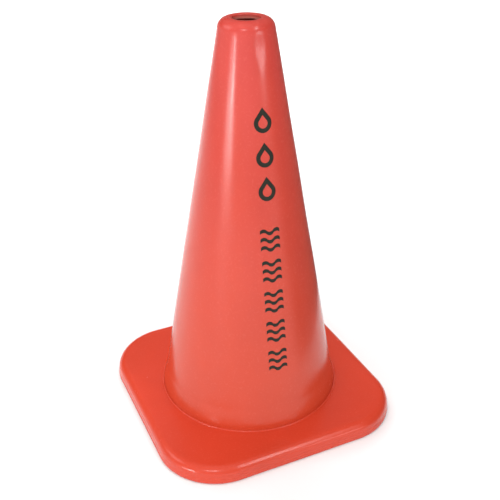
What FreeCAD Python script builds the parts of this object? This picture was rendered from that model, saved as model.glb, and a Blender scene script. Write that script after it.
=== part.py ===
import FreeCAD, Part
import math
import os

# A moulded PVC safety cone with a column of dark marks down one side.
# Two mouldings make the cone: a thin hollow body, and a square base that holds the body by its
# bottom flange. The marks are thin films on the body. Millimetres, +Z up, origin on the cone's
# axis at floor level. The base's sides lie along X and Y, and the marks face -Y.

Vector = FreeCAD.Vector
AXIS_START = Vector(0, 0, 0)
UP = Vector(0, 0, 1)

# Overall
TOTAL_HEIGHT = 457.0
DECK_HEIGHT = 19.5
BASE_SIDE = 288.0
BASE_CORNER_RADIUS = 70.0

# Cone body
WALL_RADIUS_AT_FLOOR = 107.4      # the straight wall, carried down to z = 0
WALL_TAPER = 0.1751               # loss of radius for each millimetre of height
WALL_THICKNESS = 2.5
TOP_THICKNESS = 5.0
TOP_EDGE_RADIUS = 10.5
TOP_INNER_RADIUS = 4.0
TOP_BORE_RADIUS = 14.4
TOP_BORE_LIP = 1.5
COLLAR_RADIUS = 105.4             # where the body passes through the base
COLLAR_TOP_RADIUS = 104.9
COLLAR_TOP = 25.0
SHOULDER_TOP = 44.0
COLLAR_EDGE_RADIUS = 14.0
SHOULDER_EDGE_RADIUS = 40.0
FLANGE_RADIUS = 108.4
FLANGE_THICKNESS = 3.0
FLANGE_EDGE_RADIUS = 0.8

# Base: edge, from the floor up
SKIRT_CLEARANCE = 1.0             # the feet hold the skirt this far off the floor
LIP_HEIGHT = 6.5
LIP_LEDGE = 0.7
LIP_EDGE_RADIUS = 0.6
SHOULDER_DRAFT = 1.2              # lean of the edge above the lip
DECK_EDGE_RADIUS = 10.0

# Base: deck and opening
DECK_THICKNESS = 8.0
OPENING_CLEARANCE = 0.25
BEAD_RADIUS = 1.0                 # rounded bead round the opening
BEAD_SINK = 0.2

# Base: underside
SKIRT_THICKNESS = 6.0
HUB_CLEARANCE = 0.4
HUB_THICKNESS = 3.6
HUB_BOTTOM = 3.0
LUG_COUNT = 8
LUG_REACH = 3.9
LUG_THICKNESS = 3.0
LUG_ARC_DEG = 7.0
RIB_COUNT = 16
RIB_THICKNESS = 3.0
FOOT_COUNT = 8                    # by turns at a side's middle and at a corner
FOOT_RADIUS = 8.0
FOOT_EDGE_RADIUS = 1.5
SIDE_FOOT_PITCH_RADIUS = 127.0
CORNER_FOOT_PITCH_RADIUS = 141.0
JOIN_OVERLAP = 1.0                # ribs, hub and feet run this far into what they join

# Marks: three drops, a space, then five waves
FILM_THICKNESS = 0.3
MARK_TURN_DEG = -3.2              # the column stands slightly off the middle of the -Y side
MARK_HEIGHT = 25.6
MARK_PITCH = 34.7
DROP_COUNT = 3
DROP_TOP_CENTRE = 365.5
WAVE_COUNT = 5
WAVE_TOP_CENTRE = 241.5
DROP_RADIUS = 9.6
DROP_STROKE = 4.8
WAVE_WIDTH = 21.6
WAVE_STROKE = 4.2
WAVE_RISE = 1.7
WAVE_BENDS = 3
WAVE_ROWS = 3
DRAWING_MARGIN = 1.0              # outlines are drawn this far in front of the widest part of the wall

# Smallest difference that counts when an edge is looked for
TOLERANCE = 0.01

# Worked out from the above
HALF_SIDE = BASE_SIDE / 2
DECK_UNDERSIDE = DECK_HEIGHT - DECK_THICKNESS
FLANGE_BOTTOM = DECK_UNDERSIDE - FLANGE_THICKNESS
OPENING_RADIUS = COLLAR_RADIUS + OPENING_CLEARANCE
HUB_INNER_RADIUS = FLANGE_RADIUS + HUB_CLEARANCE
HUB_OUTER_RADIUS = HUB_INNER_RADIUS + HUB_THICKNESS
CAVITY_HALF_SIDE = HALF_SIDE - SKIRT_THICKNESS
CAVITY_CORNER_RADIUS = BASE_CORNER_RADIUS - SKIRT_THICKNESS
WALL_RUN = WALL_THICKNESS * math.hypot(1.0, WALL_TAPER)   # the wall's thickness measured level


def wall_radius(z):
    return WALL_RADIUS_AT_FLOOR - WALL_TAPER * z


def rounded_outline(profile):
    """Closed wire from (radius, height) corners. A third number, if any, is the corner's rounding."""
    corners = [Vector(corner[0], 0, corner[1]) for corner in profile]
    edges = []
    joints = []
    for index, corner in enumerate(profile):
        here = corners[index]
        if len(corner) == 2:
            joints.append((here, here))
            continue
        rounding = corner[2]
        back = (corners[index - 1] - here).normalize()
        ahead = (corners[(index + 1) % len(corners)] - here).normalize()
        inward = (back + ahead).normalize()
        half_opening = back.getAngle(ahead) / 2
        reach = rounding / math.tan(half_opening)
        middle = here + inward * (rounding / math.sin(half_opening) - rounding)
        start = here + back * reach
        end = here + ahead * reach
        edges.append(Part.Arc(start, middle, end).toShape())
        joints.append((start, end))
    for index, (_, start) in enumerate(joints):
        end = joints[(index + 1) % len(joints)][0]
        edges.append(Part.LineSegment(start, end).toShape())
    return Part.Wire(Part.sortEdges(edges)[0])


def revolved(profile, degrees=360.0):
    """Solid of revolution about the cone's axis from the corners of its outline."""
    return Part.Face(rounded_outline(profile)).revolve(AXIS_START, UP, degrees)


def ring(inner, outer, bottom, top):
    return revolved([(inner, bottom), (outer, bottom), (outer, top), (inner, top)])


def edges_at_height(shape, z):
    """The shape's edges that lie level at this height."""
    found = []
    for edge in shape.Edges:
        box = edge.BoundBox
        if abs(box.ZMin - z) < TOLERANCE and abs(box.ZMax - z) < TOLERANCE:
            found.append(edge)
    return found


def rounded_square(half_side, corner_radius, z):
    """Closed wire: four straight sides joined by four quarter circles."""
    flat = half_side - corner_radius
    diagonal = flat + corner_radius * math.sqrt(0.5)
    edges = []
    for quarter in range(4):
        turn = FreeCAD.Rotation(UP, 90.0 * quarter)
        side_start = turn.multVec(Vector(half_side, -flat, z))
        side_end = turn.multVec(Vector(half_side, flat, z))
        arc_middle = turn.multVec(Vector(diagonal, diagonal, z))
        arc_end = turn.multVec(Vector(flat, half_side, z))
        edges.append(Part.LineSegment(side_start, side_end).toShape())
        edges.append(Part.Arc(side_end, arc_middle, arc_end).toShape())
    return Part.Wire(edges)


def slab(half_side, corner_radius, bottom, top):
    outline = rounded_square(half_side, corner_radius, bottom)
    return Part.Face(outline).extrude(UP * (top - bottom))


def cone_body():
    collar_inside = COLLAR_RADIUS - WALL_THICKNESS
    ceiling = TOTAL_HEIGHT - TOP_THICKNESS
    shoulder_radius = wall_radius(SHOULDER_TOP)
    return revolved([
        (TOP_BORE_RADIUS, TOTAL_HEIGHT, TOP_BORE_LIP),
        (wall_radius(TOTAL_HEIGHT), TOTAL_HEIGHT, TOP_EDGE_RADIUS),
        (shoulder_radius, SHOULDER_TOP, SHOULDER_EDGE_RADIUS),
        (COLLAR_TOP_RADIUS, COLLAR_TOP, COLLAR_EDGE_RADIUS),
        (COLLAR_RADIUS, DECK_HEIGHT),
        (COLLAR_RADIUS, DECK_UNDERSIDE),
        (FLANGE_RADIUS, DECK_UNDERSIDE),
        (FLANGE_RADIUS, FLANGE_BOTTOM, FLANGE_EDGE_RADIUS),
        (collar_inside, FLANGE_BOTTOM),
        (collar_inside, DECK_HEIGHT),
        (COLLAR_TOP_RADIUS - WALL_THICKNESS, COLLAR_TOP, COLLAR_EDGE_RADIUS),
        (shoulder_radius - WALL_RUN, SHOULDER_TOP, SHOULDER_EDGE_RADIUS),
        (wall_radius(ceiling) - WALL_RUN, ceiling, TOP_INNER_RADIUS),
        (TOP_BORE_RADIUS, ceiling),
    ])


def base_shell():
    """Deck, rounded edge and lip, hollow underneath, with the opening for the body."""
    upper_half = HALF_SIDE - LIP_LEDGE
    upper_corner = BASE_CORNER_RADIUS - LIP_LEDGE
    lip = slab(HALF_SIDE, BASE_CORNER_RADIUS, SKIRT_CLEARANCE, LIP_HEIGHT)
    shoulder = Part.makeLoft([
        rounded_square(upper_half, upper_corner, LIP_HEIGHT),
        rounded_square(upper_half - SHOULDER_DRAFT, upper_corner - SHOULDER_DRAFT, DECK_HEIGHT),
    ], True, True)
    shoulder = shoulder.makeFillet(DECK_EDGE_RADIUS, edges_at_height(shoulder, DECK_HEIGHT))
    lip = lip.makeFillet(LIP_EDGE_RADIUS, edges_at_height(lip, LIP_HEIGHT))
    lip = lip.makeFillet(LIP_EDGE_RADIUS, edges_at_height(lip, SKIRT_CLEARANCE))
    block = lip.fuse(shoulder).removeSplitter()
    cavity = slab(CAVITY_HALF_SIDE, CAVITY_CORNER_RADIUS, 0, DECK_UNDERSIDE)
    opening = Part.makeCylinder(OPENING_RADIUS, DECK_HEIGHT)
    bead_centre = OPENING_RADIUS + BEAD_RADIUS
    bead = Part.makeTorus(bead_centre, BEAD_RADIUS, Vector(0, 0, DECK_HEIGHT - BEAD_SINK))
    return block.cut(cavity).cut(opening).fuse(bead)


def snap_lugs():
    """Short hooks on the inside of the hub ring, under the body's flange."""
    inner = HUB_INNER_RADIUS - LUG_REACH
    root = HUB_INNER_RADIUS + HUB_THICKNESS / 2
    lug = revolved([
        (inner, FLANGE_BOTTOM - LUG_THICKNESS / 2),
        (root, FLANGE_BOTTOM - LUG_THICKNESS),
        (root, FLANGE_BOTTOM),
        (inner, FLANGE_BOTTOM),
    ], LUG_ARC_DEG)
    lugs = []
    for index in range(LUG_COUNT):
        copy = lug.copy()
        copy.rotate(AXIS_START, UP, 360.0 / LUG_COUNT * index - LUG_ARC_DEG / 2)
        lugs.append(copy)
    return lugs


def underside_ribs():
    """Radial ribs from the hub ring to the skirt."""
    top = DECK_UNDERSIDE + JOIN_OVERLAP
    reach = slab(CAVITY_HALF_SIDE + JOIN_OVERLAP, CAVITY_CORNER_RADIUS + JOIN_OVERLAP, HUB_BOTTOM, top)
    start = Vector(HUB_INNER_RADIUS + HUB_THICKNESS / 2, -RIB_THICKNESS / 2, HUB_BOTTOM)
    ribs = []
    for index in range(RIB_COUNT):
        rib = Part.makeBox(HALF_SIDE, RIB_THICKNESS, top - HUB_BOTTOM, start)
        rib.rotate(AXIS_START, UP, 360.0 / RIB_COUNT * index)
        ribs.append(rib.common(reach))
    return ribs


def feet():
    """Pads that carry the base: one by each corner and one by each side's middle."""
    top = DECK_UNDERSIDE + JOIN_OVERLAP
    pads = []
    for index in range(FOOT_COUNT):
        reach = CORNER_FOOT_PITCH_RADIUS if index % 2 else SIDE_FOOT_PITCH_RADIUS
        pad = revolved([(0, 0), (FOOT_RADIUS, 0, FOOT_EDGE_RADIUS), (FOOT_RADIUS, top), (0, top)])
        pad.translate(Vector(reach, 0, 0))
        pad.rotate(AXIS_START, UP, 360.0 / FOOT_COUNT * index)
        pads.append(pad)
    return pads


def base():
    hub = ring(HUB_INNER_RADIUS, HUB_OUTER_RADIUS, HUB_BOTTOM, DECK_UNDERSIDE + JOIN_OVERLAP)
    additions = [hub] + snap_lugs() + underside_ribs() + feet()
    return base_shell().fuse(additions).removeSplitter()


def front_point(x, z):
    """A point of a mark's outline, drawn in front of the cone."""
    return Vector(x, -WALL_RADIUS_AT_FLOOR - DRAWING_MARGIN, z)


def drop_outline(radius, tip, centre):
    """Teardrop: most of a circle, closed by two straight flanks that meet at the tip."""
    spread = math.acos(radius / (tip - centre))
    touch_x = radius * math.sin(spread)
    touch_z = centre + radius * math.cos(spread)
    left, right = front_point(-touch_x, touch_z), front_point(touch_x, touch_z)
    point, bottom = front_point(0, tip), front_point(0, centre - radius)
    return Part.Wire([
        Part.Arc(left, bottom, right).toShape(),
        Part.LineSegment(right, point).toShape(),
        Part.LineSegment(point, left).toShape(),
    ])


def drop_face(centre):
    """A drop drawn in outline, DROP_STROKE wide."""
    round_centre = centre - MARK_HEIGHT / 2 + DROP_RADIUS
    tip = centre + MARK_HEIGHT / 2
    hole_radius = DROP_RADIUS - DROP_STROKE
    half_angle_sine = DROP_RADIUS / (tip - round_centre)
    hole_tip = round_centre + hole_radius / half_angle_sine
    outer = Part.Face(drop_outline(DROP_RADIUS, tip, round_centre))
    hole = Part.Face(drop_outline(hole_radius, hole_tip, round_centre))
    return outer.cut(hole)


def wave_face(centre):
    """One wavy stroke: arcs that bend up and down by turns."""
    half = WAVE_WIDTH / 2
    bend = WAVE_WIDTH / WAVE_BENDS
    upper = centre + WAVE_STROKE / 2
    lower = centre - WAVE_STROKE / 2
    edges = []
    for level in (upper, lower):
        for index in range(WAVE_BENDS):
            start = -half + bend * index
            rise = WAVE_RISE if index % 2 == 0 else -WAVE_RISE
            first = front_point(start, level)
            middle = front_point(start + bend / 2, level + rise)
            last = front_point(start + bend, level)
            edges.append(Part.Arc(first, middle, last).toShape())
    for side in (-half, half):
        edges.append(Part.LineSegment(front_point(side, lower), front_point(side, upper)).toShape())
    return Part.Face(Part.Wire(Part.sortEdges(edges)[0]))


def film(faces, centre):
    """The faces carried back onto the wall, as a film of even thickness."""
    bottom = centre - MARK_HEIGHT
    top = centre + MARK_HEIGHT
    skin = revolved([
        (wall_radius(bottom), bottom),
        (wall_radius(bottom) + FILM_THICKNESS, bottom),
        (wall_radius(top) + FILM_THICKNESS, top),
        (wall_radius(top), top),
    ])
    pieces = []
    for face in faces:
        piece = face.extrude(Vector(0, WALL_RADIUS_AT_FLOOR, 0)).common(skin)
        piece.rotate(AXIS_START, UP, MARK_TURN_DEG)
        pieces += piece.Solids
    return pieces[0] if len(pieces) == 1 else Part.makeCompound(pieces)


def wave_mark(centre):
    row_pitch = (MARK_HEIGHT - 2 * WAVE_RISE - WAVE_STROKE) / (WAVE_ROWS - 1)
    rows = [centre + row_pitch * (row - (WAVE_ROWS - 1) / 2) for row in range(WAVE_ROWS)]
    return film([wave_face(row) for row in rows], centre)


def main():
    nodes = {"cone_body": cone_body(), "base": base()}
    for index in range(DROP_COUNT):
        centre = DROP_TOP_CENTRE - MARK_PITCH * index
        nodes[f"drop_mark_{index + 1}"] = film([drop_face(centre)], centre)
    for index in range(WAVE_COUNT):
        centre = WAVE_TOP_CENTRE - MARK_PITCH * index
        nodes[f"wave_mark_{index + 1}"] = wave_mark(centre)
    os.makedirs("parts", exist_ok=True)
    for name, shape in nodes.items():
        shape.exportStep(f"parts/{name}.step")
        print(name, "solids", len(shape.Solids), "valid", shape.isValid(), "volume", round(shape.Volume, 1))


main()
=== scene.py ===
import math

import bmesh
import bpy
from mathutils import Matrix, Quaternion, Vector, noise


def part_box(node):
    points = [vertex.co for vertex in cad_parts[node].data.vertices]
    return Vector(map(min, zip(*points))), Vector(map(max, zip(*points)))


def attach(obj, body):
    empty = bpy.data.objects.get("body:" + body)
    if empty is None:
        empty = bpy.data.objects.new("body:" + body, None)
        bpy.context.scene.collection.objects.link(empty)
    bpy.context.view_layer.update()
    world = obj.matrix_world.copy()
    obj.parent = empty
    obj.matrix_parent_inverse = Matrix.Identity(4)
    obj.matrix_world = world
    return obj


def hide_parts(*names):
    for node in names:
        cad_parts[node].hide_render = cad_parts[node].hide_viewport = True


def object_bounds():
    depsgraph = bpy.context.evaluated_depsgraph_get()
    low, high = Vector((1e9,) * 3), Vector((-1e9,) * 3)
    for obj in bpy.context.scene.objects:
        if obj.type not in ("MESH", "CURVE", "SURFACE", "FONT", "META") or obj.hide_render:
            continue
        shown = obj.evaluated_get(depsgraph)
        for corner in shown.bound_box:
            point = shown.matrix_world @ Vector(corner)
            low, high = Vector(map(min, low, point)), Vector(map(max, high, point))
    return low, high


# A moulded PVC safety cone on its square base, with a column of dark water marks.
# Metres, +Z up, origin on the cone's axis at floor level. The marks face -Y.
# Directions round the cone are given as an angle from -Y, turning towards +X.

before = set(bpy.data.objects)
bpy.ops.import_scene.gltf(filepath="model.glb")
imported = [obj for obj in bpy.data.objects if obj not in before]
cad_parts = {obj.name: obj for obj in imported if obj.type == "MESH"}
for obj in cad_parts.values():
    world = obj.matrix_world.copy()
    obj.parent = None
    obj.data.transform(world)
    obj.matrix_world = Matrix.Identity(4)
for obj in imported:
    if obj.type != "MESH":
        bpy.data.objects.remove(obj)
cad_low, cad_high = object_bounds()

MM = 0.001
TOTAL_HEIGHT = cad_high.z
HALF_SIDE = cad_high.x

# Cone body
WALL_RADIUS_AT_FLOOR = 107.4 * MM
WALL_TAPER = 0.1751
WALL_THICKNESS = 2.5 * MM
TOP_THICKNESS = 5.0 * MM
TOP_ROUNDING = 10.5 * MM
BORE_RADIUS = 14.4 * MM
BORE_LIP_ROUNDING = 1.5 * MM
BORE_FOOT_ROUNDING = 0.5 * MM
CEILING_ROUNDING = 4.0 * MM
COLLAR_RADIUS = 105.4 * MM
COLLAR_TOP_RADIUS = 104.9 * MM
COLLAR_TOP = 25.0 * MM
SHOULDER_TOP = 44.0 * MM
COLLAR_ROUNDING = 14.0 * MM
SHOULDER_ROUNDING = 40.0 * MM
FLANGE_THICKNESS = 3.0 * MM
FLANGE_ROUNDING = 0.4 * MM
FLANGE_EDGE_ROUNDING = 0.8 * MM
FLANGE_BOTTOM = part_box("cone_body")[0].z
FLANGE_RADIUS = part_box("cone_body")[1].x

# Base
BEAD_RADIUS = 1.0 * MM
BEAD_SINK = 0.2 * MM
BEAD_FOOT = 0.75 * MM             # the bead starts this far above the deck on the opening's side
BEAD_START = math.radians(96.0)
BEAD_SWEEP = math.radians(84.0)
BEAD_RUN_OUT = 0.5 * MM           # from the bead to the first row of the level deck
BEAD_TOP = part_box("base")[1].z
DECK = BEAD_TOP - BEAD_RADIUS + BEAD_SINK
DECK_UNDERSIDE = FLANGE_BOTTOM + FLANGE_THICKNESS
CORNER_RADIUS = 70.0 * MM
SKIRT_BOTTOM = 1.0 * MM
SKIRT_THICKNESS = 6.0 * MM
SKIRT_ROUNDING = 0.6 * MM
SKIRT_ROOT_ROUNDING = 1.0 * MM
LIP_TOP = 6.5 * MM
LIP_LEDGE = 0.7 * MM
LIP_RISE = 0.6 * MM               # the soft ledge of the lip runs from this far above LIP_TOP
LIP_FALL = 1.6 * MM               # to this far below it
LIP_ROUNDING = 2.5 * MM
EDGE_LEAN = 1.2 * MM
DECK_EDGE_RADIUS = 10.0 * MM
DECK_EDGE_RUN = 16.0 * MM         # level deck that is drawn together with its rounded edge
UNDERSIDE_RUN = 3.0 * MM          # and level underside that is drawn with the skirt
OPENING_RADIUS = COLLAR_RADIUS + 0.05 * MM
HUB_INNER_RADIUS = FLANGE_RADIUS + 0.4 * MM
HUB_THICKNESS = 3.6 * MM
HUB_BOTTOM = 3.0 * MM
HUB_ROUNDING = 0.5 * MM
LUG_COUNT = 8
LUG_REACH = 3.9 * MM
LUG_ARC = math.radians(7.0)
LUG_ROUNDING = 0.3 * MM
LUG_TIP_THICKNESS = 1.5 * MM
LUG_ROOT_THICKNESS = 3.0 * MM
RIB_COUNT = 16
RIB_THICKNESS = 3.0 * MM
RIB_LOWER_THICKNESS = 0.84 * RIB_THICKNESS
FOOT_COUNT = 8
FOOT_RADIUS = 8.0 * MM
FOOT_CORE_RADIUS = 0.2 * MM       # a tiny flat face closes each end of a foot
FOOT_ROUNDING = 1.5 * MM
SIDE_FOOT_REACH = 127.0 * MM
CORNER_FOOT_REACH = 141.0 * MM
JOIN_OVERLAP = 1.0 * MM

# Marks
MARK_TURN = math.radians(-3.2)
MARK_HEIGHT = 25.6 * MM
DROP_RADIUS = 9.6 * MM
DROP_STROKE = 4.8 * MM
WAVE_WIDTH = 21.6 * MM
WAVE_STROKE = 4.2 * MM
WAVE_RISE = 1.7 * MM
WAVE_BENDS = 3
WAVE_ROWS = 3
FILM_THICKNESS = 0.3 * MM
FILM_SINK = 0.08 * MM

# Mesh fineness
TURNS = 288                       # columns round the cone
WALL_STEP = 4.0 * MM              # rows up the wall
ARC_STEP = math.radians(11.0)     # points along a rounded corner
SIDE_COLUMNS = 26                 # columns along each straight side of the base
CORNER_COLUMNS = 34               # and round each of its corners
EDGE_STEP = 2.5 * MM              # rows down the base's edge
DECK_ROWS = 14                    # rows across the deck, and as many across its underside
BEAD_STEPS = 8
LUG_TURNS = 6
FOOT_TURNS = 32
STROKE_COLUMNS = 8                # columns across a stroke of a mark
STROKE_ROWS = 72                  # rows along it


# ---------------------------------------------------------------- outlines

def rounded_path(corners, closed=False):
    """Points of a path in a plane. Each corner is (x, y, rounding); a rounding of 0 stays sharp."""
    count = len(corners)
    path = []
    for index, (x, y, rounding) in enumerate(corners):
        here = Vector((x, y))
        inner = closed or 0 < index < count - 1
        if not inner or rounding <= 0:
            path.append(here)
            continue
        back = (Vector(corners[index - 1][:2]) - here).normalized()
        ahead = (Vector(corners[(index + 1) % count][:2]) - here).normalized()
        half_opening = back.angle(ahead) / 2
        reach = rounding / math.tan(half_opening)
        centre = here + (back + ahead).normalized() * (rounding / math.sin(half_opening))
        first = here + back * reach - centre
        turn = math.pi - 2 * half_opening
        side = 1.0 if first.x * ahead.y - first.y * ahead.x > 0 else -1.0
        steps = max(2, math.ceil(turn / ARC_STEP))
        for step in range(steps + 1):
            angle = side * turn * step / steps
            spun = Vector((first.x * math.cos(angle) - first.y * math.sin(angle),
                           first.x * math.sin(angle) + first.y * math.cos(angle)))
            path.append(centre + spun)
    return path


def subdivided(path, longest, closed=False):
    """The path with points added so that no run is longer than this."""
    result = []
    count = len(path)
    for index in range(count if closed else count - 1):
        start, end = path[index], path[(index + 1) % count]
        pieces = max(1, math.ceil((end - start).length / longest))
        result += [start.lerp(end, piece / pieces) for piece in range(pieces)]
    if not closed:
        result.append(path[-1])
    return result


def smooth_step(value, low, high):
    share = min(1.0, max(0.0, (value - low) / (high - low)))
    return share * share * (3 - 2 * share)


def bump(value, centre, width):
    """A smooth hill of height 1 and this half-width."""
    return math.exp(-((value - centre) / width) ** 2)


# ---------------------------------------------------------------- the soft wall

UNEVEN_FROM = 75.0 * MM           # the wall is fully uneven above this height,
UNEVEN_FADE = (436.0 * MM, 450.0 * MM)   # and true again at the top
SWELL = 0.30 * MM                 # slow unevenness of the wall
SWELL_SIZE = 52.0 * MM
RIPPLE = 0.05 * MM                # finer unevenness
RIPPLE_SIZE = 17.0 * MM
DENT_DEPTH = 0.85 * MM            # shallow pull mark under the top edge
DENT_ANGLE = math.radians(1.0)
DENT_HEIGHT = 434.0 * MM
DENT_WIDTH = 7.0 * MM
DENT_LENGTH = 15.0 * MM


def wall_radius(z):
    return WALL_RADIUS_AT_FLOOR - WALL_TAPER * z


def wall_offset(angle, z):
    """How far the wall stands off its true cone at this angle and height."""
    free = smooth_step(z, SHOULDER_TOP, UNEVEN_FROM) * (1 - smooth_step(z, *UNEVEN_FADE))
    radius = wall_radius(z)
    place = Vector((math.sin(angle) * radius, -math.cos(angle) * radius, z * 0.6))
    slow = noise.noise(place / SWELL_SIZE + Vector((3.1, 7.7, 1.9)))
    fine = noise.noise(place / RIPPLE_SIZE + Vector((9.2, 0.4, 5.5)))
    turn = math.atan2(math.sin(angle - DENT_ANGLE), math.cos(angle - DENT_ANGLE))
    dent = bump(turn * radius, 0, DENT_WIDTH) * bump(z, DENT_HEIGHT, DENT_LENGTH)
    return free * (SWELL * slow + RIPPLE * fine) - DENT_DEPTH * dent


def on_wall(across, z, stand_off):
    """The point of the wall that lies `across` from the marks' middle line, seen from the front."""
    radius = wall_radius(z)
    angle = math.asin(across / radius) + MARK_TURN
    reach = radius + wall_offset(angle, z) + stand_off
    return Vector((reach * math.sin(angle), -reach * math.cos(angle), z))


# ---------------------------------------------------------------- mesh helpers

def paint(mesh, attribute, rule):
    """Gives each point of the mesh a value, worked out from where the point lies."""
    values = mesh.attributes.new(attribute, "FLOAT", "POINT").data
    for vertex, value in zip(mesh.vertices, values):
        value.value = rule(vertex.co)


def finished(name, mesh_builder, nodes, wear_and_bead_light=None, sharp_deg=40.0):
    """The bmesh as an object that rides on the root body and stands for these CAD nodes."""
    mesh = bpy.data.meshes.new(name)
    bmesh.ops.recalc_face_normals(mesh_builder, faces=mesh_builder.faces)
    mesh_builder.to_mesh(mesh)
    mesh_builder.free()
    for polygon in mesh.polygons:
        polygon.use_smooth = True
    mesh.set_sharp_from_angle(angle=math.radians(sharp_deg))
    piece = bpy.data.objects.new(name, mesh)
    bpy.context.scene.collection.objects.link(piece)
    if wear_and_bead_light:
        paint(mesh, "wear_and_bead_light", wear_and_bead_light)
        paint(mesh, "painted_bore_light", painted_bore_light)
    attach(piece, "root")
    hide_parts(*nodes)
    return piece


def add_grid(builder, rows, close_rows, close_columns):
    """Quads between rows of points. Either direction may close on itself."""
    grid = [[builder.verts.new(point) for point in row] for row in rows]
    height, width = len(grid), len(grid[0])
    for i in range(height if close_rows else height - 1):
        for j in range(width if close_columns else width - 1):
            below, above = grid[i], grid[(i + 1) % height]
            right = (j + 1) % width
            builder.faces.new((below[j], below[right], above[right], above[j]))
    return grid


def add_turned(builder, profile, turns=TURNS, start=0.0, sweep=math.tau):
    """A closed profile of (radius, height) turned about the axis, all round or part of the way."""
    whole = sweep >= math.tau
    columns = turns if whole else turns + 1
    rows = []
    for point in profile:
        angles = [start + sweep * column / turns for column in range(columns)]
        rows.append([(point.x * math.cos(a), point.x * math.sin(a), point.y) for a in angles])
    grid = add_grid(builder, rows, True, whole)
    if not whole:
        builder.faces.new([row[0] for row in grid])
        builder.faces.new([row[-1] for row in grid])


# ---------------------------------------------------------------- cone body

RIM_WEAR = 0.5
FOOT_WEAR = 0.12


def body_profile():
    """Closed (radius, height) outline: bore, top, wall, collar, flange and back up inside."""
    ceiling = TOTAL_HEIGHT - TOP_THICKNESS
    run = WALL_THICKNESS * math.hypot(1.0, WALL_TAPER)
    collar_inside = COLLAR_RADIUS - WALL_THICKNESS
    corners = [
        (BORE_RADIUS, TOTAL_HEIGHT, BORE_LIP_ROUNDING),
        (wall_radius(TOTAL_HEIGHT), TOTAL_HEIGHT, TOP_ROUNDING),
        (wall_radius(SHOULDER_TOP), SHOULDER_TOP, SHOULDER_ROUNDING),
        (COLLAR_TOP_RADIUS, COLLAR_TOP, COLLAR_ROUNDING),
        (COLLAR_RADIUS, DECK, 0.0),
        (COLLAR_RADIUS, DECK_UNDERSIDE, FLANGE_ROUNDING),
        (FLANGE_RADIUS, DECK_UNDERSIDE, FLANGE_ROUNDING),
        (FLANGE_RADIUS, FLANGE_BOTTOM, FLANGE_EDGE_ROUNDING),
        (collar_inside, FLANGE_BOTTOM, FLANGE_ROUNDING),
        (collar_inside, DECK, 0.0),
        (COLLAR_TOP_RADIUS - WALL_THICKNESS, COLLAR_TOP, COLLAR_ROUNDING),
        (wall_radius(SHOULDER_TOP) - run, SHOULDER_TOP, SHOULDER_ROUNDING),
        (wall_radius(ceiling) - run, ceiling, CEILING_ROUNDING),
        (BORE_RADIUS, ceiling, BORE_FOOT_ROUNDING),
    ]
    return subdivided(rounded_path(corners, closed=True), WALL_STEP, closed=True)


def painted_bore_light(point):
    """Painted light: paler on the wall of the bore and on the inside of the cone just below it, which
    would otherwise lie in shade.
    """
    below_top = TOTAL_HEIGHT - point.z
    reach = point.xy.length
    if reach < BORE_RADIUS + 0.3 * MM:
        return smooth_step(below_top, 1.5 * MM, 3 * MM)
    inner_wall = wall_radius(point.z) - reach >= 0.8 * WALL_THICKNESS
    if below_top < TOP_THICKNESS - 0.1 * MM or not inner_wall:
        return 0.0
    return 1 - smooth_step(below_top, 30 * MM, 90 * MM)


def body_wear(point):
    """The top edge and the bore's lip rub a little, the foot less."""
    rim = RIM_WEAR * smooth_step(point.z, TOTAL_HEIGHT - 7 * MM, TOTAL_HEIGHT - 1 * MM)
    foot = FOOT_WEAR * bump(point.z, 30 * MM, 12 * MM)
    return max(rim, foot)


def make_body():
    builder = bmesh.new()
    rows = []
    for radius, z in body_profile():
        near_bore = radius <= BORE_RADIUS + 4 * MM
        row = []
        for column in range(TURNS):
            angle = math.tau * column / TURNS
            reach = radius + (0.0 if near_bore else wall_offset(angle, z))
            row.append((reach * math.sin(angle), -reach * math.cos(angle), z))
        rows.append(row)
    add_grid(builder, rows, True, True)
    return finished("cone_shell", builder, ["cone_body"], body_wear)


# ---------------------------------------------------------------- base

DECK_SWELL = 0.35 * MM            # slow hollows of the deck
DECK_SWELL_SIZE = 85.0 * MM
DECK_RIPPLE = 0.04 * MM           # finer unevenness
DECK_RIPPLE_SIZE = 24.0 * MM
EDGE_PULL = 0.25 * MM             # the edge lies up to twice this far inside its true outline
EDGE_PULL_SIZE = 70.0 * MM
EDGE_PULL_REACH = (118.0 * MM, 135.0 * MM)   # distances from the axis at which it starts and is full
DECK_TRUE_RING = (4.0 * MM, 14.0 * MM)       # the deck is true next to the opening, then uneven
EDGE_WEAR = 0.4


def base_outline():
    """Columns round the base: a point of the outline and its outward direction."""
    flat = HALF_SIDE - CORNER_RADIUS
    columns = []
    for quarter in range(4):
        turn = Matrix.Rotation(quarter * math.pi / 2, 2)
        for step in range(SIDE_COLUMNS):
            point = Vector((HALF_SIDE, flat * (2 * step / SIDE_COLUMNS - 1)))
            columns.append((turn @ point, turn @ Vector((1, 0))))
        for step in range(CORNER_COLUMNS):
            angle = math.pi / 2 * step / CORNER_COLUMNS
            outward = Vector((math.cos(angle), math.sin(angle)))
            point = Vector((flat, flat)) + outward * CORNER_RADIUS
            columns.append((turn @ point, turn @ outward))
    return columns


def edge_path():
    """(inset from the outline, height) from the deck's rim round the edge and under the skirt."""
    deck_inset = LIP_LEDGE + EDGE_LEAN
    corners = [
        (deck_inset + DECK_EDGE_RUN, DECK, 0.0),
        (deck_inset, DECK, DECK_EDGE_RADIUS),
        (LIP_LEDGE, LIP_TOP + LIP_RISE, LIP_ROUNDING),
        (0.0, LIP_TOP - LIP_FALL, LIP_ROUNDING),
        (0.0, SKIRT_BOTTOM, SKIRT_ROUNDING),
        (SKIRT_THICKNESS, SKIRT_BOTTOM, SKIRT_ROUNDING),
        (SKIRT_THICKNESS, DECK_UNDERSIDE, SKIRT_ROOT_ROUNDING),
        (SKIRT_THICKNESS + UNDERSIDE_RUN, DECK_UNDERSIDE, 0.0),
    ]
    return subdivided(rounded_path(corners), EDGE_STEP)


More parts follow.
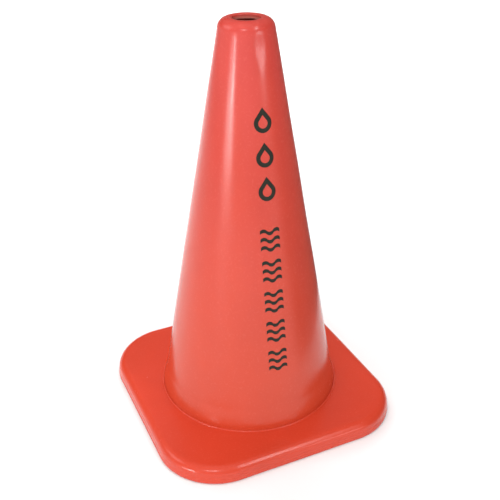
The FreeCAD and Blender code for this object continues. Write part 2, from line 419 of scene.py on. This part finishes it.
def bead_path():
    """(radius, height) up the opening's wall, over the bead and out on to the deck."""
    bead_middle = OPENING_RADIUS + BEAD_RADIUS
    bead_height = DECK - BEAD_SINK
    levels = (DECK_UNDERSIDE, (DECK + DECK_UNDERSIDE) / 2, DECK + BEAD_FOOT)
    points = [Vector((OPENING_RADIUS, level)) for level in levels]
    for step in range(BEAD_STEPS + 1):
        angle = BEAD_START - BEAD_SWEEP * step / BEAD_STEPS
        points.append(Vector((bead_middle + BEAD_RADIUS * math.cos(angle),
                              bead_height + BEAD_RADIUS * math.sin(angle))))
    points.append(Vector((bead_middle + BEAD_RADIUS + BEAD_RUN_OUT, DECK)))
    return points


def deck_offset(x, y):
    """The deck isn't quite flat: slow hollows of a moulding that cooled unevenly."""
    slow = noise.noise(Vector((x / DECK_SWELL_SIZE + 2.3, y / DECK_SWELL_SIZE + 8.1, 0.6)))
    fine = noise.noise(Vector((x / DECK_RIPPLE_SIZE + 5.2, y / DECK_RIPPLE_SIZE + 1.4, 3.3)))
    return DECK_SWELL * slow + DECK_RIPPLE * fine


def edge_pull(x, y):
    """How far the edge lies inside its true outline."""
    slow = noise.noise(Vector((x / EDGE_PULL_SIZE + 1.7, y / EDGE_PULL_SIZE + 4.4, 9.1)))
    return EDGE_PULL * (1 + slow)


def base_column(outline_point, outward):
    """One closed loop of points: opening, bead, deck, edge, skirt and underside."""
    around = outline_point.normalized()
    loop = []
    for radius, z in bead_path():
        loop.append((around * radius, z))
    rim = edge_path()
    bead_end = loop[-1][0]
    deck_end = outline_point - outward * rim[0].x
    for row in range(1, DECK_ROWS):
        spot = bead_end.lerp(deck_end, row / DECK_ROWS)
        loop.append((spot, DECK))
    for inset, z in rim:
        loop.append((outline_point - outward * inset, z))
    under_start = loop[-1][0]
    under_end = around * OPENING_RADIUS
    for row in range(1, DECK_ROWS):
        loop.append((under_start.lerp(under_end, row / DECK_ROWS), DECK_UNDERSIDE))
    shaped = []
    for spot, z in loop:
        reach = spot.length
        top = smooth_step(z, LIP_TOP, DECK - 1 * MM)
        clear = smooth_step(reach - OPENING_RADIUS, *DECK_TRUE_RING)
        pull = 0.0
        if z < DECK_UNDERSIDE:
            pull = edge_pull(spot.x, spot.y) * smooth_step(reach, *EDGE_PULL_REACH)
        moved = spot - outward * pull
        shaped.append((moved.x, moved.y, z + deck_offset(spot.x, spot.y) * top * clear))
    return shaped


def base_wear_and_bead_light(point):
    """Wear on the lip and on the rounded edge of the deck, and a painted highlight on the bead round
    the opening that lifts the shade where it meets the cone.
    """
    inset = HALF_SIDE - max(abs(point.x), abs(point.y))
    from_bead = point.xy.length - OPENING_RADIUS - BEAD_RADIUS
    lip = bump(point.z, LIP_TOP, 1.2 * MM) * (1 - smooth_step(inset, 2 * MM, 12 * MM))
    edge = EDGE_WEAR * smooth_step(point.z, 13 * MM, DECK) * bump(inset, 6 * MM, 7 * MM)
    # painted highlight: the bead goes paler, lifting the shade in the crease against the cone
    bead_light = bump(from_bead, 0, 1.2 * MM) * smooth_step(point.z, DECK, DECK + 0.4 * MM)
    return max(lip, edge, bead_light)


def add_rib(builder, angle, start, end):
    """A flat rib under the deck, slightly narrower at its lower edge."""
    along = Vector((math.cos(angle), math.sin(angle), 0))
    across = Vector((-along.y, along.x, 0))
    edges = ((HUB_BOTTOM, RIB_LOWER_THICKNESS), (DECK_UNDERSIDE + JOIN_OVERLAP, RIB_THICKNESS))
    corners = ((start, -0.5), (end, -0.5), (end, 0.5), (start, 0.5))
    rows = []
    for z, thickness in edges:
        height = Vector((0, 0, z))
        rows.append([along * reach + across * (side * thickness) + height for reach, side in corners])
    grid = add_grid(builder, rows, False, True)
    builder.faces.new(grid[0])
    builder.faces.new(grid[1])


def ray_to_outline(angle, inset):
    """Distance from the axis to the base's outline, drawn in by this much, in this direction."""
    half = HALF_SIDE - inset
    corner = CORNER_RADIUS - inset
    flat = half - corner
    x, y = abs(math.cos(angle)), abs(math.sin(angle))
    straight = half / max(x, y)
    if min(x, y) * straight <= flat:
        return straight
    middle = flat * (x + y)
    return middle + math.sqrt(middle * middle - 2 * flat * flat + corner * corner)


def add_hub(builder):
    """The ring under the deck that stands round the body's flange."""
    outer = HUB_INNER_RADIUS + HUB_THICKNESS
    add_turned(builder, rounded_path([
        (HUB_INNER_RADIUS, HUB_BOTTOM, HUB_ROUNDING),
        (outer, HUB_BOTTOM, HUB_ROUNDING),
        (outer, DECK_UNDERSIDE + JOIN_OVERLAP, 0.0),
        (HUB_INNER_RADIUS, DECK_UNDERSIDE + JOIN_OVERLAP, 0.0),
    ], closed=True))


def add_lug(builder, angle, root):
    """A snap lug that reaches in from the hub under the flange."""
    tip = HUB_INNER_RADIUS - LUG_REACH
    lug = rounded_path([
        (tip, FLANGE_BOTTOM - LUG_TIP_THICKNESS, LUG_ROUNDING),
        (root, FLANGE_BOTTOM - LUG_ROOT_THICKNESS, 0.0),
        (root, FLANGE_BOTTOM, 0.0),
        (tip, FLANGE_BOTTOM, LUG_ROUNDING),
    ], closed=True)
    add_turned(builder, lug, LUG_TURNS, angle - LUG_ARC / 2, LUG_ARC)


def add_foot(builder, angle, reach):
    """A round pad that stands on the floor."""
    middle = Vector((reach * math.cos(angle), reach * math.sin(angle), 0))
    profile = rounded_path([
        (FOOT_CORE_RADIUS, 0.0, 0.0),
        (FOOT_RADIUS, 0.0, FOOT_ROUNDING),
        (FOOT_RADIUS, DECK_UNDERSIDE + JOIN_OVERLAP, 0.0),
        (FOOT_CORE_RADIUS, DECK_UNDERSIDE + JOIN_OVERLAP, 0.0),
    ])
    turns = [math.tau * column / FOOT_TURNS for column in range(FOOT_TURNS)]
    rows = [[middle + Vector((radius * math.cos(turn), radius * math.sin(turn), z)) for turn in turns]
            for radius, z in profile]
    grid = add_grid(builder, rows, False, True)
    builder.faces.new(grid[0])
    builder.faces.new(grid[-1])


def make_base():
    builder = bmesh.new()
    columns = [base_column(point, outward) for point, outward in base_outline()]
    add_grid(builder, list(zip(*columns)), True, True)
    add_hub(builder)
    hub_middle = HUB_INNER_RADIUS + HUB_THICKNESS / 2
    for index in range(LUG_COUNT):
        add_lug(builder, math.tau * index / LUG_COUNT, hub_middle)
    for index in range(RIB_COUNT):
        angle = math.tau * index / RIB_COUNT
        add_rib(builder, angle, hub_middle, ray_to_outline(angle, SKIRT_THICKNESS - JOIN_OVERLAP))
    for index in range(FOOT_COUNT):
        reach = CORNER_FOOT_REACH if index % 2 else SIDE_FOOT_REACH
        add_foot(builder, math.tau * index / FOOT_COUNT, reach)
    return finished("base_shell", builder, ["base"], base_wear_and_bead_light)


# ---------------------------------------------------------------- marks

STROKE_SHARP_DEG = 60.0           # a film's edges are shaded smooth up to this angle
STROKE_UNDERCUT = 0.04            # the film's hidden underside is narrower by this share each side


def film_height(share):
    """The film's height over the wall across a stroke: level, with rounded edges."""
    edge = abs(2 * share - 1)
    return FILM_THICKNESS * (1 - edge ** 6) ** 0.5 - FILM_SINK * edge ** 6


def stroke(builder, place, closed):
    """A film along a stroke. place(along, across) gives the point of the drawing, both from 0 to 1."""
    rows = []
    count = STROKE_ROWS if closed else STROKE_ROWS + 1
    for row in range(count):
        along = row / STROKE_ROWS
        loop = []
        for column in range(STROKE_COLUMNS + 1):
            share = column / STROKE_COLUMNS
            x, z = place(along, share)
            loop.append(on_wall(x, z, film_height(share)))
        for share in (1 - STROKE_UNDERCUT, STROKE_UNDERCUT):
            x, z = place(along, share)
            loop.append(on_wall(x, z, -FILM_SINK * 2))
        rows.append(loop)
    grid = add_grid(builder, rows, closed, True)
    if not closed:
        builder.faces.new(grid[0])
        builder.faces.new(grid[-1])


def teardrop(share):
    """A unit teardrop: most of a circle of radius 1, and two flanks that meet above it."""
    tip = (MARK_HEIGHT - DROP_RADIUS) / DROP_RADIUS
    spread = math.acos(1 / tip)
    flank = math.sqrt(tip * tip - 1)
    arc = math.tau - 2 * spread
    length = (2 * flank + arc) * share
    touch = Vector((math.sin(spread), math.cos(spread)))
    if length < flank:
        return Vector((0, tip)).lerp(touch, length / flank)
    if length < flank + arc:
        angle = spread + (length - flank)
        return Vector((math.sin(angle), math.cos(angle)))
    back = (length - flank - arc) / flank
    return Vector((-touch.x, touch.y)).lerp(Vector((0, tip)), back)


def middle_height(node):
    low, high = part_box(node)
    return (low.z + high.z) / 2


def make_drop(node, name):
    builder = bmesh.new()
    centre = middle_height(node)
    round_centre = centre - MARK_HEIGHT / 2 + DROP_RADIUS

    def place(along, across):
        radius = DROP_RADIUS - DROP_STROKE * (1 - across)
        spot = teardrop(along) * radius
        return spot.x, round_centre + spot.y

    stroke(builder, place, True)
    return finished(name, builder, [node], None, STROKE_SHARP_DEG)


def wave_height(x):
    """Arcs that bend up and down by turns along the stroke."""
    bend = WAVE_WIDTH / WAVE_BENDS
    index = min(WAVE_BENDS - 1, int((x + WAVE_WIDTH / 2) / bend))
    middle = -WAVE_WIDTH / 2 + bend * (index + 0.5)
    radius = (bend * bend / 4 + WAVE_RISE * WAVE_RISE) / (2 * WAVE_RISE)
    height = math.sqrt(max(0.0, radius * radius - (x - middle) ** 2)) - (radius - WAVE_RISE)
    return height if index % 2 == 0 else -height


def make_wave(node, name):
    builder = bmesh.new()
    centre = middle_height(node)
    pitch = (MARK_HEIGHT - 2 * WAVE_RISE - WAVE_STROKE) / (WAVE_ROWS - 1)
    for row in range(WAVE_ROWS):
        level = centre + pitch * (row - (WAVE_ROWS - 1) / 2)

        def place(along, across, level=level):
            x = WAVE_WIDTH * (along - 0.5)
            return x, level + wave_height(x) + WAVE_STROKE * (across - 0.5)

        stroke(builder, place, False)
    return finished(name, builder, [node], None, STROKE_SHARP_DEG)


# ---------------------------------------------------------------- materials

class Nodes:
    """Short calls for building one material's nodes."""

    def __init__(self, name):
        self.material = bpy.data.materials.new(name)
        self.material.use_nodes = True
        self.tree = self.material.node_tree
        self.shader = self.tree.nodes["Principled BSDF"]
        self.place = self.tree.nodes.new("ShaderNodeTexCoord").outputs["Object"]

    def node(self, kind, **settings):
        made = self.tree.nodes.new(kind)
        for name, value in settings.items():
            setattr(made, name, value)
        return made

    def link(self, source, target):
        self.tree.links.new(source, target)

    def stretched(self, scale):
        """The object's coordinates with each axis scaled."""
        mapping = self.node("ShaderNodeMapping")
        mapping.inputs["Scale"].default_value = scale
        self.link(self.place, mapping.inputs["Vector"])
        return mapping.outputs["Vector"]

    def noise(self, scale, detail=3.0, rough=0.55, stretch=None):
        made = self.node("ShaderNodeTexNoise")
        made.inputs["Scale"].default_value = scale
        made.inputs["Detail"].default_value = detail
        made.inputs["Roughness"].default_value = rough
        self.link(self.stretched(stretch) if stretch else self.place, made.inputs["Vector"])
        return made.outputs["Fac"]

    def ranged(self, value, low, high, to_low=0.0, to_high=1.0):
        made = self.node("ShaderNodeMapRange")
        made.inputs["From Min"].default_value = low
        made.inputs["From Max"].default_value = high
        made.inputs["To Min"].default_value = to_low
        made.inputs["To Max"].default_value = to_high
        self.link(value, made.inputs["Value"])
        return made.outputs["Result"]

    def math(self, operation, first, second):
        made = self.node("ShaderNodeMath", operation=operation)
        for socket, value in zip(made.inputs, (first, second)):
            if isinstance(value, (int, float)):
                socket.default_value = value
            else:
                self.link(value, socket)
        return made.outputs["Value"]

    def mixed(self, share, first, second):
        made = self.node("ShaderNodeMix", data_type="RGBA")
        self.link(share, made.inputs["Factor"])
        for socket, value in ((made.inputs["A"], first), (made.inputs["B"], second)):
            if isinstance(value, tuple):
                socket.default_value = (*value, 1.0)
            else:
                self.link(value, socket)
        return made.outputs["Result"]

    def bumped(self, height, distance, strength=1.0, under=None):
        made = self.node("ShaderNodeBump")
        made.inputs["Strength"].default_value = strength
        made.inputs["Distance"].default_value = distance
        self.link(height, made.inputs["Height"])
        if under:
            self.link(under, made.inputs["Normal"])
        return made.outputs["Normal"]

    def painted(self, attribute):
        """A value that the mesh carries at its points."""
        return self.node("ShaderNodeAttribute", attribute_name=attribute).outputs["Fac"]


def scaled(colour, factor):
    return tuple(channel * factor for channel in colour)


CONE_FOOT_COLOUR = (0.605, 0.059, 0.023)
CONE_TOP_COLOUR = (0.60, 0.058, 0.046)
CONE_PALE = (0.88, 0.22, 0.16)
CONE_STREAKS = (1.0, 1.0, 0.08)   # flow lines that run up the wall
BASE_COLOUR = (0.63, 0.051, 0.021)
BASE_PALE = (0.86, 0.18, 0.12)
BASE_STREAKS = (0.5, 0.5, 1.0)
# painted light inside the bore
BORE_LIGHT_COLOUR = (0.86, 0.40, 0.32)
INK_DARK = (0.010, 0.012, 0.007)
INK_LIGHT = (0.020, 0.021, 0.012)
INK_THIN = (0.10, 0.045, 0.028)   # where the film is thin and the red shows through
FLOOR_COLOURS = ((0.90, 0.90, 0.90), (0.93, 0.93, 0.925))
FLAG_COLOUR = (0.14, 0.13, 0.13)


def clouded(m, cloud, colour):
    """The colour, slightly darker and lighter in slow clouds."""
    return m.mixed(m.ranged(cloud, 0.30, 0.70), scaled(colour, 0.95), scaled(colour, 1.04))


def pvc(name, colour, pale, streaks, top_colour=None):
    """Glossy moulded PVC: cloudy pigment, faint flow lines, fine skin, rubbed edges and specks, with
    painted light in the bore and a painted highlight on the base's bead.
    """
    m = Nodes(name)
    cloud = m.noise(9.0, 4.0, 0.6)
    grain = m.noise(420.0, 2.0, 0.5)
    flow = m.noise(26.0, 3.0, 0.6, streaks)
    rub = m.ranged(m.noise(120.0, 4.0, 0.7), 0.42, 0.70)
    worn_and_bead_light = m.math("MULTIPLY", m.painted("wear_and_bead_light"), rub)

    # Cloudy pigment, which turns a little bluer towards the top if there is a colour for it
    shade = clouded(m, cloud, colour)
    if top_colour:
        split = m.node("ShaderNodeSeparateXYZ")
        m.link(m.place, split.inputs["Vector"])
        upper = clouded(m, cloud, top_colour)
        shade = m.mixed(m.ranged(split.outputs["Z"], 0.03, 0.42), shade, upper)

    # Flow lines, grain, rubbed edges with a painted highlight on the base's bead, and painted light
    # inside the bore
    shade = m.mixed(m.ranged(flow, 0.35, 0.75, 0.0, 0.35), shade, scaled(colour, 1.07))
    shade = m.mixed(m.ranged(grain, 0.55, 0.80, 0.0, 0.10), shade, pale)
    # rubbed edges go paler; on the base's bead the same mix is a painted highlight
    shade = m.mixed(m.math("MULTIPLY", worn_and_bead_light, 0.10), shade, pale)
    # painted light: the bore and the inside just below the top go paler
    shade = m.mixed(m.math("MULTIPLY", m.painted("painted_bore_light"), 0.55), shade, BORE_LIGHT_COLOUR)

    # A few dark specks, in patches
    specks = m.node("ShaderNodeTexVoronoi", feature="F1")
    specks.inputs["Scale"].default_value = 46.0
    m.link(m.place, specks.inputs["Vector"])
    speck = m.ranged(specks.outputs["Distance"], 0.018, 0.030, 1.0, 0.0)
    chosen = m.ranged(m.noise(7.0, 1.0), 0.60, 0.66)
    speck = m.math("MULTIPLY", m.math("MULTIPLY", speck, chosen), 0.7)
    shade = m.mixed(speck, shade, scaled(colour, 0.25))
    m.link(shade, m.shader.inputs["Base Color"])

    # Gloss, duller in smudges, scuffs and where it is rubbed
    smudge = m.ranged(m.noise(16.0, 4.0, 0.65), 0.30, 0.75, 0.17, 0.25)
    scuffs = m.ranged(m.noise(210.0, 3.0, 0.6, (0.25, 0.25, 3.0)), 0.62, 0.74, 0.0, 0.05)
    rough = m.math("ADD", smudge, scuffs)
    rough = m.math("ADD", rough, m.math("MULTIPLY", m.painted("wear_and_bead_light"), 0.10))
    m.link(rough, m.shader.inputs["Roughness"])

    # Skin: grain, flow lines and rubbed places
    skin = m.bumped(grain, 0.00003, 0.6)
    skin = m.bumped(flow, 0.00025, 0.5, skin)
    skin = m.bumped(worn_and_bead_light, 0.00004, 0.3, skin)
    m.link(skin, m.shader.inputs["Normal"])
    m.shader.inputs["IOR"].default_value = 1.5
    return m.material


def film_ink():
    """Dark olive-black film with a satin face and slightly uneven cover."""
    m = Nodes("mark_ink")
    cover = m.noise(160.0, 4.0, 0.6)
    patch = m.noise(40.0, 3.0, 0.6)
    shade = m.mixed(m.ranged(patch, 0.35, 0.70), INK_DARK, INK_LIGHT)
    shade = m.mixed(m.ranged(cover, 0.64, 0.78, 0.0, 0.35), shade, INK_THIN)
    m.link(shade, m.shader.inputs["Base Color"])
    m.link(m.ranged(cover, 0.3, 0.7, 0.34, 0.50), m.shader.inputs["Roughness"])
    m.shader.inputs["IOR"].default_value = 1.36
    m.link(m.bumped(cover, 0.00006, 0.6), m.shader.inputs["Normal"])
    return m.material


def floor_material():
    """Pale, even studio floor with a faint mottle."""
    m = Nodes("studio_floor")
    mottle = m.noise(3.0, 4.0, 0.6)
    shade = m.mixed(m.ranged(mottle, 0.3, 0.7), *FLOOR_COLOURS)
    m.link(shade, m.shader.inputs["Base Color"])
    m.shader.inputs["Roughness"].default_value = 0.7
    m.shader.inputs["Emission Color"].default_value = (1.0, 1.0, 1.0, 1.0)
    m.shader.inputs["Emission Strength"].default_value = FLOOR_GLOW
    return m.material


# ---------------------------------------------------------------- light and camera

FLOOR_GLOW = 0.07
FLOOR_REACH = 6.0                 # half the floor's side
FLOOR_SQUARES = 12                # squares along each side
FLAG_START_DEG = 24.0             # the dark card fades in from here,
FLAG_FULL_DEG = (50.0, 110.0)     # is solid between these,
FLAG_END_DEG = 172.0              # and has faded out here
FLAG_DISTANCE = 0.30
FLAG_HEIGHT = 0.50
FLAG_COLUMNS = 48
# Direction, where its light starts and is full (as the cosine of the angle to it), and radiance.
WORLD_PARTS = [
    ((0.0, 0.0, -1.0), -0.25, 0.0, 0.60),
    ((0.0, 0.0, 1.0), 0.30, 0.90, 0.30),
    ((-0.8, -0.6, 0.0), -0.30, 0.95, 0.58),
]
CAMERA_PLACE = Vector((-0.3213, -0.7076, 0.6354))
CAMERA_AIM = Vector((0.0, 0.0, 0.1954))
CAMERA_AIM_SIDE = 0.0024          # the aim lies this far to the right of the axis
CAMERA_ROLL = -0.0060             # in radians
SENSOR_WIDTH = 36.0               # in millimetres, and the lens too
LENS = 56.4

# Softboxes that show as highlights: angle from -Y towards +X and elevation of the middle, seen from
# the cone's upper half, distance, width, height, radiance, and turn about the lamp's own axis.
LIGHT_CENTRE = Vector((0, 0, 0.40))
SOFTBOXES = {
    "key": (-66.0, 1.0, 2.6, 0.22, 0.26, 9.8, 0.0),
    "key_twin": (-76.0, 1.0, 2.6, 0.34, 0.26, 1.6, 0.0),
    "key_skirt": (-69.0, -3.5, 2.6, 0.95, 0.30, 1.95, 0.0),
    "left": (-115.0, 32.0, 2.0, 1.2, 1.0, 0.50, 0.0),
    "front": (-34.0, 38.0, 2.4, 0.7, 0.26, 4.2, 0.0),
    "right": (26.1, 41.0, 2.4, 0.22, 1.5, 3.2, -23.0),
    "low_right": (27.0, 6.5, 2.6, 0.62, 0.3, 2.2, 0.0),
}
# Soft fill that only lights: place, the point it faces, width, height, and radiance.
FILLS = {
    "top_fill": ((-0.1, -0.1, 1.6), (0, 0, 0), 0.9, 0.9, 0.77),
    "floor_wash": ((-0.9, -1.1, 0.8), (-0.9, -1.1, 0), 1.2, 1.2, 0.40),
    "back_wash": ((0.55, 1.9, 1.3), (0.55, 1.9, 0), 2.2, 2.0, 1.0),
}


def direction(azimuth_deg, elevation_deg):
    azimuth, elevation = math.radians(azimuth_deg), math.radians(elevation_deg)
    level = math.cos(elevation)
    return Vector((math.sin(azimuth) * level, -math.cos(azimuth) * level, math.sin(elevation)))


def add_lamp(name, place, target, width, height, radiance, turn_deg, mirrored):
    """A soft rectangular lamp. One that isn't mirrored lights things but shows in no reflection."""
    data = bpy.data.lights.new(name, "AREA")
    data.shape = "RECTANGLE"
    data.size = width
    data.size_y = height
    data.energy = radiance * width * height * math.pi ** 2
    lamp = bpy.data.objects.new(name, data)
    lamp.location = place
    lamp.rotation_mode = "QUATERNION"
    turn = Quaternion((0.0, 0.0, 1.0), math.radians(turn_deg))
    lamp.rotation_quaternion = (place - target).to_track_quat("Z", "Y") @ turn
    lamp.visible_camera = False
    lamp.visible_glossy = mirrored
    bpy.context.scene.collection.objects.link(lamp)


def world_share(tree, place, towards, low, high, amount):
    """Light that grows with how far a direction points this way."""
    dot = tree.nodes.new("ShaderNodeVectorMath")
    dot.operation = "DOT_PRODUCT"
    dot.inputs[1].default_value = towards
    ramp = tree.nodes.new("ShaderNodeMapRange")
    ramp.inputs["From Min"].default_value = low
    ramp.inputs["From Max"].default_value = high
    ramp.inputs["To Max"].default_value = amount
    tree.links.new(place, dot.inputs[0])
    tree.links.new(dot.outputs["Value"], ramp.inputs["Value"])
    return ramp.outputs["Result"]


def make_world():
    """Three soft parts: round the horizon and below it, overhead, and on the front left."""
    world = bpy.data.worlds.new("studio")
    world.use_nodes = True
    tree = world.node_tree
    place = tree.nodes.new("ShaderNodeTexCoord").outputs["Generated"]
    total = None
    for towards, low, high, amount in WORLD_PARTS:
        share = world_share(tree, place, towards, low, high, amount)
        if total is None:
            total = share
            continue
        add = tree.nodes.new("ShaderNodeMath")
        tree.links.new(total, add.inputs[0])
        tree.links.new(share, add.inputs[1])
        total = add.outputs["Value"]
    tree.links.new(total, tree.nodes["Background"].inputs["Strength"])
    tree.nodes["Background"].inputs["Color"].default_value = (1.0, 1.0, 1.0, 1.0)
    bpy.context.scene.world = world


def make_flag():
    """A dark curved card on the right, clear at both ends, that only reflections see.

    It keeps the gloss dark on that side.
    """
    builder = bmesh.new()
    sweep = FLAG_END_DEG - FLAG_START_DEG
    angles = [FLAG_START_DEG + sweep * column / FLAG_COLUMNS for column in range(FLAG_COLUMNS + 1)]
    rows = [[direction(azimuth, 0.0) * FLAG_DISTANCE + Vector((0, 0, z)) for azimuth in angles]
            for z in (0.0, FLAG_HEIGHT)]
    add_grid(builder, rows, False, False)
    mesh = bpy.data.meshes.new("studio_flag")
    builder.to_mesh(mesh)
    builder.free()
    cover = mesh.attributes.new("cover", "FLOAT", "POINT").data
    for index, azimuth in enumerate(angles * 2):
        fade_in = smooth_step(azimuth, FLAG_START_DEG, FLAG_FULL_DEG[0])
        cover[index].value = fade_in * (1 - smooth_step(azimuth, FLAG_FULL_DEG[1], FLAG_END_DEG))
    dark = Nodes("studio_flag")
    dark.shader.inputs["Base Color"].default_value = (*FLAG_COLOUR, 1.0)
    dark.shader.inputs["Roughness"].default_value = 1.0
    dark.shader.inputs["Specular IOR Level"].default_value = 0.0
    dark.link(dark.painted("cover"), dark.shader.inputs["Alpha"])
    mesh.materials.append(dark.material)
    flag = bpy.data.objects.new("studio_flag", mesh)
    flag.visible_camera = False
    flag.visible_diffuse = False
    flag.visible_shadow = False
    bpy.context.scene.collection.objects.link(flag)


def make_floor():
    builder = bmesh.new()
    levels = [FLOOR_REACH * (2 * step / FLOOR_SQUARES - 1) for step in range(FLOOR_SQUARES + 1)]
    rows = [[(x, y, 0.0) for x in levels] for y in levels]
    add_grid(builder, rows, False, False)
    mesh = bpy.data.meshes.new("studio_floor")
    builder.to_mesh(mesh)
    builder.free()
    floor = bpy.data.objects.new("studio_floor", mesh)
    floor.data.materials.append(floor_material())
    bpy.context.scene.collection.objects.link(floor)


def make_camera():
    data = bpy.data.cameras.new("camera")
    data.sensor_width = SENSOR_WIDTH
    data.lens = LENS
    data.clip_end = 50.0
    camera = bpy.data.objects.new("camera", data)
    bpy.context.scene.collection.objects.link(camera)
    back = (CAMERA_PLACE - CAMERA_AIM).normalized()
    right = Vector((0, 0, 1)).cross(back).normalized()
    back = (CAMERA_PLACE - CAMERA_AIM - right * CAMERA_AIM_SIDE).normalized()
    right = Vector((0, 0, 1)).cross(back).normalized()
    up = back.cross(right)
    rolled = Matrix.Rotation(CAMERA_ROLL, 3, back) @ Matrix((right, up, back)).transposed()
    camera.matrix_world = Matrix.Translation(CAMERA_PLACE) @ rolled.to_4x4()
    bpy.context.scene.camera = camera


# ---------------------------------------------------------------- everything

def main():
    body = make_body()
    cone_pvc = pvc("cone_pvc", CONE_FOOT_COLOUR, CONE_PALE, CONE_STREAKS, CONE_TOP_COLOUR)
    body.data.materials.append(cone_pvc)
    base = make_base()
    base.data.materials.append(pvc("base_pvc", BASE_COLOUR, BASE_PALE, BASE_STREAKS))
    ink = film_ink()
    marks = sorted(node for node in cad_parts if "mark" in node)
    for node in marks:
        make = make_drop if node.startswith("drop") else make_wave
        make(node, node + "_film").data.materials.append(ink)
    make_floor()
    make_flag()
    make_world()
    for name, (azimuth, elevation, distance, width, height, radiance, turn_deg) in SOFTBOXES.items():
        place = LIGHT_CENTRE + direction(azimuth, elevation) * distance
        add_lamp(name, place, LIGHT_CENTRE, width, height, radiance, turn_deg, True)
    for name, (place, target, width, height, radiance) in FILLS.items():
        add_lamp(name, Vector(place), Vector(target), width, height, radiance, 0.0, False)
    make_camera()
    bpy.context.scene.view_settings.view_transform = "Standard"


main()
